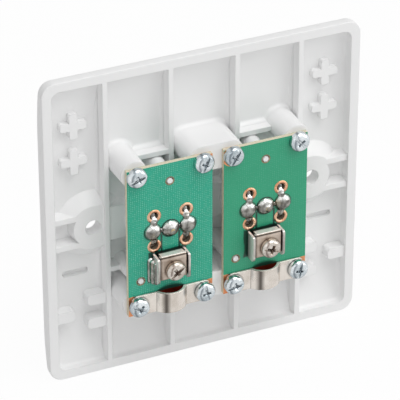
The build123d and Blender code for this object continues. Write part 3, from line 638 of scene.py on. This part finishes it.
def solder_tree(material):
    """Heaps of solder on the start mesh's points and necks along its edges, run into one skin."""
    tree, sizes, output = new_tree("solder_heaps", (
        "Heap Diameter", "Heap Height", "Neck Diameter", "Voxel", "Wrinkle", "Seed"))
    radius = node(tree, MATH, {0: sizes["Heap Diameter"], 1: 0.5}, operation="MULTIPLY").outputs[0]
    neck = node(tree, MATH, {0: sizes["Neck Diameter"], 1: 0.5}, operation="MULTIPLY").outputs[0]
    skin_depth = node(tree, MATH, {0: sizes["Voxel"], 1: 6.0}, operation="MULTIPLY").outputs[0]

    # A flattened ball for each heap
    ball = node(tree, "GeometryNodeMeshIcoSphere", {"Radius": radius, "Subdivisions": 4}).outputs["Mesh"]
    flatness = node(tree, MATH, {0: sizes["Heap Height"], 1: radius}, operation="DIVIDE").outputs[0]
    flatness = node(tree, COMBINE, {"X": 1.0, "Y": flatness, "Z": 1.0}).outputs[0]
    heap = node(tree, TRANSFORM, {"Geometry": ball, "Scale": flatness}).outputs[0]
    share = node(tree, "GeometryNodeInputNamedAttribute", {"Name": "share"}, data_type="FLOAT")
    spread = node(tree, "GeometryNodeInstanceOnPoints", {
        "Points": sizes["Geometry"], "Instance": heap, "Scale": share.outputs["Attribute"]}).outputs[0]
    heaps = node(tree, "GeometryNodeRealizeInstances", {"Geometry": spread}).outputs[0]

    # A round bar for each neck
    lines = node(tree, "GeometryNodeMeshToCurve", {"Mesh": sizes["Geometry"]}).outputs["Curve"]
    bar = node(tree, "GeometryNodeCurvePrimitiveCircle", {"Resolution": 12, "Radius": neck}).outputs["Curve"]
    necks = node(tree, "GeometryNodeCurveToMesh", {"Curve": lines, "Profile Curve": bar, "Fill Caps": True})

    # One skin over all of it, eased and wrinkled
    both = node(tree, "GeometryNodeJoinGeometry")
    for part in (heaps, necks.outputs["Mesh"]):
        tree.links.new(part, both.inputs["Geometry"])
    volume = node(tree, "GeometryNodeMeshToVolume", {
        "Mesh": both.outputs[0], "Voxel Size": sizes["Voxel"], "Interior Band Width": skin_depth},
        resolution_mode="VOXEL_SIZE").outputs[0]
    skin = node(tree, "GeometryNodeVolumeToMesh", {
        "Volume": volume, "Voxel Size": sizes["Voxel"], "Threshold": 0.1},
        resolution_mode="VOXEL_SIZE").outputs["Mesh"]
    spot = node(tree, "GeometryNodeInputPosition").outputs[0]
    run = node(tree, "GeometryNodeBlurAttribute", {"Value": spot, "Iterations": 14},
               data_type="FLOAT_VECTOR").outputs["Value"]
    eased = node(tree, "GeometryNodeSetPosition", {"Geometry": skin, "Position": run}).outputs[0]
    folds = node(tree, NOISE, {"Vector": spot, "W": sizes["Seed"], "Scale": 520.0, "Detail": 2.0},
                 noise_dimensions="4D").outputs["Fac"]
    folds = node(tree, MATH, {0: folds, 1: 0.5}, operation="SUBTRACT").outputs[0]
    lift = node(tree, MATH, {0: folds, 1: sizes["Wrinkle"]}, operation="MULTIPLY").outputs[0]
    normal = node(tree, "GeometryNodeInputNormal").outputs[0]
    shift = node(tree, VECTOR_MATH, {0: normal, "Scale": lift}, operation="SCALE").outputs[0]
    wrinkled = node(tree, "GeometryNodeSetPosition", {"Geometry": eased, "Offset": shift}).outputs[0]
    smooth = node(tree, "GeometryNodeSetShadeSmooth", {"Geometry": wrinkled}).outputs[0]
    return finished(tree, output, smooth, material)


def figure(text, value, label, **kind):
    """A number property, with its unit or subtype where it has one."""
    return bpy.props.FloatProperty(name=label, description=text, default=value, **kind)


def millimetres(text, value, label):
    """A length property, given in millimetres and kept in metres."""
    return figure(text, value * MM, label, unit="LENGTH", precision=5)


def hex_colour(text, value, label):
    """A colour property, as an sRGB hex value."""
    return bpy.props.StringProperty(name=label, description=text, default=value)


class BoardSizes(bpy.types.PropertyGroup):
    """Circuit boards."""
    thread_pitch: millimetres("Distance between threads of the glass cloth", 0.52, "Thread pitch")
    groove: millimetres("Half the width of the grooves under the mask", 0.27, "Groove")
    groove_x: millimetres("Grooves each side of the board's middle line", 2.42, "Groove place")
    groove_high: millimetres("Height at which the grooves start", -0.6, "Groove top")
    groove_low: millimetres("Height at which they end", -6.2, "Groove end")
    groove_ring: millimetres("Radius of the groove round the middle joint", 2.3, "Groove ring")
    # A dark ring round each outer joint: its radius and half its width
    flux_ring: millimetres("Radius of the burnt flux round an outer joint", 2.25, "Flux ring")
    flux_line: millimetres("Half the width of that flux", 0.18, "Flux line")
    # Painted shadow round the terminal: its middle across and in height, and its half sizes
    flux_x: millimetres("Middle of the flux round the terminal, from the middle line", 0.92, "Flux place")
    flux_z: millimetres("Height of its middle", -9.35, "Flux height")
    flux_half_x: millimetres("Half its width", 5.05, "Flux half width")
    flux_half_z: millimetres("Half its height", 4.05, "Flux half height")
    arch_half: millimetres("Half the width of the dark shade under the saddle's arch", 4.1, "Arch half width")
    arch_shade: millimetres("Height of that shade above the copper's edge", 1.6, "Arch shade")
    uneven: millimetres("Unevenness of the mask's edge", 0.3, "Uneven edge")
    # Brown rim round a locating hole, partly painted shade for the gap round its pip
    drilled: millimetres("Bare edge drilled round a locating hole", 0.14, "Drilled edge")
    pad_wall: millimetres("Reach of the dark wall of a pad hole", 0.1, "Pad wall")
    face: millimetres("Depth of mask over the sawn edge", 0.03, "Face")
    copper_edge: millimetres("Height at which the bare copper starts", -17.2, "Copper edge")
    outlet_z: millimetres("Height of the outlets", 0.6, "Outlet height")
    tag_x: millimetres("Outer joints each side of the middle line", 4.8, "Outer joint place")
    pad_x: millimetres("Pad holes each side of the middle line", 4.35, "Pad hole place")
    pad_upper: millimetres("Height of the upper pad holes", 5.0, "Upper pad holes")
    pad_lower: millimetres("Height of the lower pad holes", -3.6, "Lower pad holes")
    pad_hole: millimetres("Diameter of the pad holes", 2.2, "Pad hole diameter")
    pad_ring: millimetres("Outer diameter of the copper rings", 3.75, "Pad ring diameter")
    foil: millimetres("Thickness of the copper foil", 0.07, "Foil thickness")
    locate_upper: millimetres("Height of the upper locating hole", 14.2, "Upper locating hole")
    locate_lower: millimetres("Height of the lower locating hole", -13.1, "Lower locating hole")
    locate_x: millimetres("Lower locating hole from the middle line", 8.1, "Lower locating hole's place")
    locate_hole: millimetres("Diameter of the locating holes", 2.2, "Locating hole diameter")
    screw_pad: millimetres("Diameter of the copper pad under a screw", 5.75, "Screw pad diameter")
    mask_left: hex_colour("Green of the left board", "#22ae8f", "Left mask")
    mask_right: hex_colour("Green of the right board", "#2aa37a", "Right mask")
    mask_light: hex_colour("Green over the threads", "#a2ebd2", "Light mask")
    mask_dark: hex_colour("Green of the stains", "#14805f", "Dark mask")


class ScrewSizes(bpy.types.PropertyGroup):
    """Board, saddle and terminal screws."""
    head_height: millimetres("Height of the heads", 1.9, "Head height")
    head_wall: millimetres("Straight side of the heads", 0.75, "Head wall")
    shank: millimetres("Diameter over the threads", 2.9, "Shank diameter")
    pitch: millimetres("Pitch of the threads", 1.0, "Pitch")
    slot_width: millimetres("Width of the slots", 0.8, "Slot width")
    slot_depth: millimetres("Depth of the slots", 0.5, "Slot depth")
    recess_width: millimetres("Width of the recess's wings", 1.0, "Recess width")
    recess_span: millimetres("Span of the cross recess", 3.4, "Recess span")
    recess_depth: millimetres("Depth of the cross recess", 0.85, "Recess depth")
    clamp_recess: millimetres("Span of the terminal screws' recess", 3.9, "Terminal recess span")
    clamp_wing: millimetres("Width of the terminal screws' wings", 1.2, "Terminal wing width")
    clamp_depth: millimetres("Depth of the terminal screws' recess", 1.5, "Terminal recess depth")
    edge: millimetres("Rounding of the edges", 0.07, "Edge rounding")


class StripSizes(bpy.types.PropertyGroup):
    """Saddles, cages and clamp plates."""
    saddle_edge: millimetres("Rounding of the saddles' edges", 0.16, "Saddle edge")
    cage_edge: millimetres("Rounding of the cages' edges", 0.2, "Cage edge")
    clamp_edge: millimetres("Rounding of the clamp plates' edges", 0.12, "Clamp edge")
    left_of: millimetres("Start of the terminals' left part, from the middle line", 2.9, "Left part")
    wider: millimetres("How far that left part stands out from the plain cage", 0.45, "Wider")
    taller: millimetres("How far the clamp's lip stands above the plain one", 0.85, "Taller")
    taller_foot: millimetres("How far its foot does", 0.3, "Taller foot")
    # A painted line of shade under the clamp's lip, this far below the lip's top
    lip_shade: millimetres("Crease under the clamp's upper edge", 0.6, "Crease")
    outlet_edge: millimetres("Rounding of the outlets' edges", 0.08, "Outlet edge")


class SolderSizes(bpy.types.PropertyGroup):
    """Solder joints."""
    heap: millimetres("Diameter of a joint", 4.65, "Joint diameter")
    height: millimetres("Height of a joint", 1.6, "Joint height")
    centre_rise: bpy.props.FloatVectorProperty(
        name="Centre rise", description="How far each centre joint climbs its pin, in millimetres", size=2,
        default=(0.85, 1.3))
    centre_size: bpy.props.FloatVectorProperty(
        name="Centre size", description="Size of the solder on each pin, against a joint", size=2,
        default=(0.68, 0.42))
    neck: millimetres("Width of the necks", 2.2, "Neck width")
    fillet_x: millimetres("Fillet beside the left terminal, from the middle line", 5.3, "Fillet place")
    fillet_top: millimetres("Upper end of the fillet", -7.8, "Fillet top")
    fillet_low: millimetres("Lower end of the fillet", -13.2, "Fillet end")
    wrinkle: millimetres("Depth of the wrinkles", 0.3, "Wrinkle depth")
    voxel: millimetres("Fineness of the skin", 0.11, "Skin fineness")


class StageSizes(bpy.types.PropertyGroup):
    """Camera, lamps and floor."""
    azimuth: figure("Camera's bearing, 0 looking along +Y", math.radians(155.85), "Azimuth", subtype="ANGLE")
    elevation: figure("Camera's height angle", math.radians(31.09), "Elevation", subtype="ANGLE")
    distance: figure("Camera to the origin", 0.72, "Distance", unit="LENGTH")
    lens: figure("Focal length in millimetres", 256.4, "Lens")
    shift_x: figure("Shift of the frame to the side", -0.01125, "Shift X")
    shift_y: figure("Shift of the frame upwards", 0.00775, "Shift Y")
    key_power: figure("Large lamp above", 7.7, "Key power", unit="POWER")
    right_power: figure("Lamp at the right", 1.75, "Right power", unit="POWER")
    front_power: figure("Small lamp beside the camera", 1.0, "Front power", unit="POWER")
    sky: figure("Level of the surrounding light", 0.455, "Sky")


class SOCKET_OT_plate(bpy.types.Operator):
    """Give the moulded plate its material"""
    bl_idname = "socket.plate"
    bl_label = "Moulded plate"

    def execute(self, context):
        dress_cad("front_plate", urea_moulding())
        return {"FINISHED"}


class SOCKET_OT_boards(bpy.types.Operator):
    """Finish the circuit boards and lay the copper rings on them"""
    bl_idname = "socket.boards"
    bl_label = "Circuit boards"

    def execute(self, context):
        props = context.scene.socket_boards
        copper = etched_copper()
        tree = ring_tree(copper)
        # How much of the cloth shows, and where the bare screw pad lies, in millimetres
        weaves = {"left": 0.9, "right": 0.25}
        crescents = {"left": (-9.32, 17.45), "right": (9.1, 17.2)}
        for side in SIDES:
            board = solder_mask_board(f"solder_mask_{side}", props, side, weaves[side], crescents[side])
            dress_cad(f"circuit_board_{side}", board)
            x = middle_x(side)
            level = BOARD_BACK + props.foil / 2
            pads = [(x + dx, level, z) for dx in (-props.pad_x, props.pad_x)
                    for z in (props.pad_upper, props.pad_lower)]
            mesh = bpy.data.meshes.new(f"pad_rings_{side}")
            mesh.from_pydata(pads, [], [])
            width = (props.pad_ring - props.pad_hole) / 2
            rings = grown(f"pad_rings_{side}", mesh, tree, {
                "Middle": (props.pad_hole + width) / 2, "Width": width, "Thickness": props.foil})
            outward(settled(rings))
            dress(rings, copper)
            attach(rings, "plate")
        return {"FINISHED"}


class SOCKET_OT_screws(bpy.types.Operator):
    """Make the board, saddle and terminal screws"""
    bl_idname = "socket.screws"
    bl_label = "Screws"

    def execute(self, context):
        props = context.scene.socket_screws
        zinc, nickel = clear_zinc(), nickel_screw()
        trees = {"zinc_plate": screw_tree(zinc), "nickel_plate": screw_tree(nickel)}
        metals = {"zinc_plate": zinc, "nickel_plate": nickel}
        # How far each screw is turned, in degrees
        turns = {"board_screw_left_a": 20, "board_screw_left_b": 65, "saddle_screw_left_a": 150,
                 "saddle_screw_left_b": 100, "board_screw_right_a": 55, "board_screw_right_b": 130,
                 "saddle_screw_right_a": 10, "saddle_screw_right_b": 80, "terminal_screw_left": 35,
                 "terminal_screw_right": 160}
        for name, turn in turns.items():
            low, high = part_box(name)
            plate = "nickel_plate" if name.startswith("terminal") else "zinc_plate"
            seat = high[1] - props.head_height
            place = ((low[0] + high[0]) / 2, seat, (low[2] + high[2]) / 2)
            sizes = {"Head Diameter": high[0] - low[0], "Head Height": props.head_height,
                     "Head Wall": props.head_wall, "Shank Diameter": props.shank, "Length": seat - low[1],
                     "Pitch": props.pitch, "Slot Width": props.slot_width, "Slot Depth": props.slot_depth,
                     "Recess Span": props.recess_span, "Recess Width": props.recess_width,
                     "Recess Depth": props.recess_depth}
            if plate == "nickel_plate":
                sizes.update({"Recess Span": props.clamp_recess, "Recess Width": props.clamp_wing,
                              "Recess Depth": props.clamp_depth})
            sizes = {label: size / MM for label, size in sizes.items()}
            sizes.update({"Turn": math.radians(turn), "Place": place})
            screw = grown(f"threaded_{name}", bpy.data.meshes.new(name), trees[plate], sizes)
            edges = screw.modifiers.new("edges", "BEVEL")
            edges.width = props.edge
            edges.segments = 2
            edges.limit_method = "ANGLE"
            edges.angle_limit = math.radians(40)
            outward(settled(screw))
            screw.data.shade_smooth()
            screw.data.set_sharp_from_angle(angle=math.radians(40))
            dress(screw, metals[plate])
            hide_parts(name)
            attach(screw, name if not name.startswith("board") else "plate")
        return {"FINISHED"}


class SOCKET_OT_saddles(bpy.types.Operator):
    """Make the cable saddles"""
    bl_idname = "socket.saddles"
    bl_label = "Cable saddles"

    def execute(self, context):
        nickel = nickel_strip()
        width = context.scene.socket_strips.saddle_edge
        for side in SIDES:
            saddle = softened(f"cable_saddle_{side}", f"saddle_strip_{side}", width)
            dress(saddle, nickel)
            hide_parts(f"cable_saddle_{side}")
            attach(saddle, f"saddle_{side}")
        return {"FINISHED"}


class SOCKET_OT_terminals(bpy.types.Operator):
    """Make the terminal cages and their clamp plates"""
    bl_idname = "socket.terminals"
    bl_label = "Terminals"

    def execute(self, context):
        props = context.scene.socket_strips
        cage_metal = nickel_cage()
        clamp_metal = nickel_clamp(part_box("clamp_plate_left")[1][2] + props.taller - props.lip_shade)
        for side in SIDES:
            left = middle_x(side) + props.left_of
            for cad, name, width, body, metal in (
                    ("terminal_cage", "cage_strip", props.cage_edge, "plate", cage_metal),
                    ("clamp_plate", "clamp_strip", props.clamp_edge, f"clamp_{side}", clamp_metal)):
                piece = softened(f"{cad}_{side}", f"{name}_{side}", width)
                shifted(piece, 0, left, props.wider)
                if cad == "clamp_plate":
                    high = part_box(f"{cad}_{side}")[1]
                    lean = (props.taller - props.taller_foot) / (high[1] - BOARD_BACK)
                    shifted(piece, 2, high[2] - 2 * width, props.taller_foot, lean)
                dress(piece, metal)
                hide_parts(f"{cad}_{side}")
                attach(piece, body)
        return {"FINISHED"}


class SOCKET_OT_solder(bpy.types.Operator):
    """Run the solder joints and their necks"""
    bl_idname = "socket.solder"
    bl_label = "Solder joints"

    def execute(self, context):
        props, boards = context.scene.socket_solder, context.scene.socket_boards
        tin = tin_solder()
        tree = solder_tree(tin)
        # Sizes of heaps against a joint, and how deep the last two sink into the board
        middle, beside_pad, in_pad = 1.04, 0.55, 0.42
        beside_depth, in_depth = 0.35 * MM, 0.9 * MM
        # Rows of the fillet: inwards and up the cage in millimetres, and their size
        rows, beads = ((0.0, 0.0, 0.52), (0.3, 1.1, 0.46), (0.5, 2.2, 0.32)), 11
        for seed, side in enumerate(SIDES):
            x, level = middle_x(side), BOARD_BACK
            rise, size = props.centre_rise[seed], props.centre_size[seed]
            heaps = [(x, level, boards.outlet_z, middle), (x, level + rise * MM, boards.outlet_z, size)]
            necks = []
            for way in (-1, 1):
                joint, pad_x = len(heaps), x + way * boards.pad_x
                heaps.append((x + way * boards.tag_x, level, boards.outlet_z, 1.0))
                for z, toward in ((boards.pad_upper, 1), (boards.pad_lower, -1)):
                    beside = len(heaps)
                    edge, within = z - toward * boards.pad_hole * 0.7, z
                    necks.append((joint, beside))
                    if toward < 0:
                        within += boards.pad_hole * 0.3
                        necks.append((beside, beside + 1))
                    heaps.append((pad_x, level - beside_depth, edge, beside_pad))
                    heaps.append((pad_x, level - in_depth, within, in_pad))
            if side == "left":
                run = props.fillet_low - props.fillet_top
                heaps.extend((x + props.fillet_x - inward * MM, level + climb * MM,
                              props.fillet_top + run * bead / (beads - 1), share)
                             for inward, climb, share in rows for bead in range(beads))
            mesh = bpy.data.meshes.new(f"solder_{side}")
            mesh.from_pydata([heap[:3] for heap in heaps], necks, [])
            shares = mesh.attributes.new("share", "FLOAT", "POINT")
            shares.data.foreach_set("value", [heap[3] for heap in heaps])
            joints = grown(f"solder_heaps_{side}", mesh, tree, {
                "Heap Diameter": props.heap, "Heap Height": props.height, "Neck Diameter": props.neck,
                "Voxel": props.voxel, "Wrinkle": props.wrinkle, "Seed": float(seed)})
            outward(settled(joints))
            dress(joints, tin)
            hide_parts(f"solder_joints_{side}")
            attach(joints, "plate")
        return {"FINISHED"}


class SOCKET_OT_outlets(bpy.types.Operator):
    """Make the coaxial outlets"""
    bl_idname = "socket.outlets"
    bl_label = "Coaxial outlets"

    def execute(self, context):
        width = context.scene.socket_strips.outlet_edge
        nickel, brass, acetal = nickel_strip(), turned_brass(), natural_acetal()
        for side in SIDES:
            for cad, name, metal, slot in (
                    ("outlet_shell", "shell_pressing", nickel, "nickel_plate"),
                    ("outlet_insulator", "insulating_bush", acetal, "insulator_plastic"),
                    ("centre_contact", "contact_sleeve", brass, "contact_metal")):
                piece = softened(f"{cad}_{side}", f"{name}_{side}", width, 2)
                dress(piece, metal)
                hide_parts(f"{cad}_{side}")
                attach(piece, "plate")
        return {"FINISHED"}


class SOCKET_OT_stage(bpy.types.Operator):
    """Set up the floor, the lamps and the camera"""
    bl_idname = "socket.stage"
    bl_label = "Stage"

    def execute(self, context):
        props = context.scene.socket_stage
        scene = context.scene
        scene.view_settings.view_transform = "Standard"

        away = Vector((math.sin(props.azimuth) * math.cos(props.elevation),
                       -math.cos(props.azimuth) * math.cos(props.elevation), math.sin(props.elevation)))
        camera = bpy.data.cameras.new("camera")
        camera.lens, camera.sensor_width = props.lens, 36.0
        camera.shift_x, camera.shift_y = props.shift_x, props.shift_y
        viewer = bpy.data.objects.new("camera", camera)
        viewer.location = props.distance * away
        viewer.rotation_euler = away.to_track_quat("Z", "Y").to_euler()
        scene.collection.objects.link(viewer)
        scene.camera = viewer

        for name, place, size, power in (
                ("key_lamp", (-0.3, 0.5, 1.2), 0.9, props.key_power),
                ("right_lamp", (-0.9, 0.6, 0.35), 0.6, props.right_power),
                ("front_lamp", (0.45, 1.0, 0.66), 0.5, props.front_power)):
            lamp = bpy.data.lights.new(name, "AREA")
            lamp.size, lamp.energy = size, power
            lit = bpy.data.objects.new(name, lamp)
            lit.location = place
            lit.rotation_euler = Vector(place).to_track_quat("Z", "Y").to_euler()
            scene.collection.objects.link(lit)

        world = bpy.data.worlds.new("studio")
        scene.world = world
        world.use_nodes = True
        tree = world.node_tree
        tree.nodes.clear()
        level = node(tree, RANGE, {"Value": seen(tree), "To Min": props.sky, "To Max": 1.0})
        sky = node(tree, "ShaderNodeBackground", {"Color": (1, 1, 1, 1), "Strength": level.outputs["Result"]})
        node(tree, "ShaderNodeOutputWorld", {"Surface": sky.outputs["Background"]})

        mesh = bpy.data.meshes.new("floor")
        reach, depth = 4.0, cad_box[0][2]
        mesh.from_pydata([(-reach, -reach, depth), (reach, -reach, depth), (reach, reach, depth),
                          (-reach, reach, depth)], [], [(0, 1, 2, 3)])
        floor = link("floor", mesh)
        material, tree, output = start_material("white_paper_floor")
        paper = node(tree, "ShaderNodeBsdfDiffuse", {"Color": linear("#f2f2f2")})
        glow = node(tree, "ShaderNodeEmission", {"Color": (1, 1, 1, 1), "Strength": 1.0})
        share = node(tree, MATH, {0: seen(tree), 1: 0.96}, operation="MULTIPLY")
        mixed = node(tree, "ShaderNodeMixShader", {
            0: share.outputs[0], 1: paper.outputs[0], 2: glow.outputs[0]}).outputs[0]
        tree.links.new(mixed, output.inputs["Surface"])
        floor.data.materials.append(material)
        return {"FINISHED"}


STEPS = (SOCKET_OT_stage, SOCKET_OT_plate, SOCKET_OT_boards, SOCKET_OT_solder, SOCKET_OT_terminals,
         SOCKET_OT_saddles, SOCKET_OT_screws, SOCKET_OT_outlets)
SIZES = {"socket_boards": BoardSizes, "socket_screws": ScrewSizes, "socket_strips": StripSizes,
         "socket_solder": SolderSizes, "socket_stage": StageSizes}


class SOCKET_PT_panel(bpy.types.Panel):
    """Steps of the wall socket"""
    bl_idname = "SOCKET_PT_panel"
    bl_label = "Wall socket"
    bl_space_type = "VIEW_3D"
    bl_region_type = "UI"
    bl_category = "Wall socket"

    def draw(self, context):
        for step in STEPS:
            self.layout.operator(step.bl_idname)
        for name, group in SIZES.items():
            box = self.layout.box()
            box.label(text=group.__doc__)
            for label in group.__annotations__:
                box.prop(getattr(context.scene, name), label)


def register():
    """Register the sizes, the steps and the panel."""
    for name, group in SIZES.items():
        bpy.utils.register_class(group)
        setattr(bpy.types.Scene, name, bpy.props.PointerProperty(type=group))
    for step in (*STEPS, SOCKET_PT_panel):
        bpy.utils.register_class(step)


def unregister():
    """Take everything back out."""
    for step in reversed((*STEPS, SOCKET_PT_panel)):
        bpy.utils.unregister_class(step)
    for name, group in SIZES.items():
        delattr(bpy.types.Scene, name)
        bpy.utils.unregister_class(group)


def main():
    """Register the steps and run every one."""
    register()
    for step in STEPS:
        group, name = step.bl_idname.split(".")
        getattr(getattr(bpy.ops, group), name)()
    bpy.context.view_layer.update()


if __name__ == "__main__":
    main()
